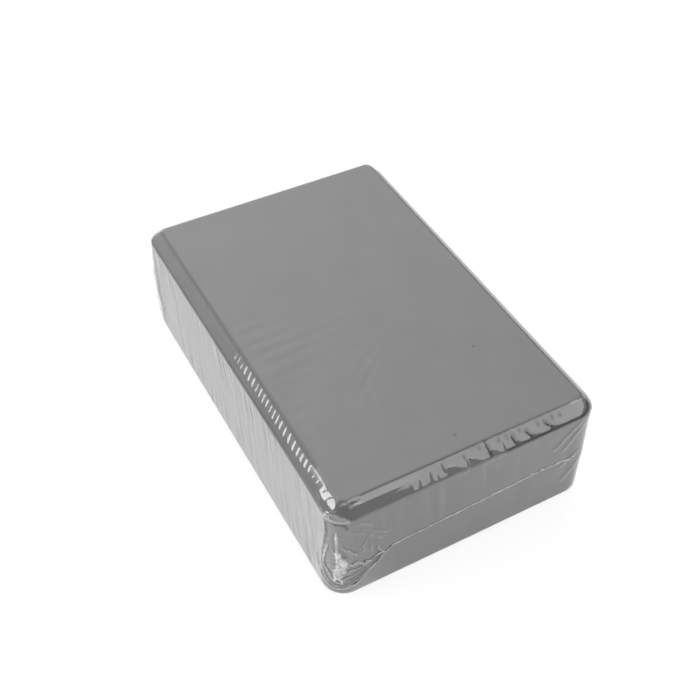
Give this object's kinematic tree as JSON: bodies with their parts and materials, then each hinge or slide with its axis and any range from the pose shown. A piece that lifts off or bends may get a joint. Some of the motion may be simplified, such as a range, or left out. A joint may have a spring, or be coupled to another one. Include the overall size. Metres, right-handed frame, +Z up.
{
  "type": "yoga block",
  "caption": "Grey closed-cell foam yoga block with bevelled edges, wrapped in clear shrink film that is welded along its sides and gathered into pleats at its corners.",
  "frame": {"origin": "centre of the underside, on the surface that the wrapped block rests on", "axes": "+X along the block's length towards the short side with the visible weld, +Y along its width away from the film's fold, +Z up through its thickness"},
  "size_m": [0.2324, 0.1521, 0.0758],
  "materials": {
    "eva_foam": "matte fine-celled closed-cell foam, mid grey",
    "shrink_film": "clear glossy polyolefin film",
    "film_weld": "clear to milky hot-wire weld bead"
  },
  "bodies": {
    "root": {"foam_block": "eva_foam", "film_upper_web": "shrink_film", "film_lower_web": "shrink_film", "front_trim_seal": "film_weld", "rear_trim_seal": "film_weld", "side_trim_seal": "film_weld"}
  },
  "joints": []
}
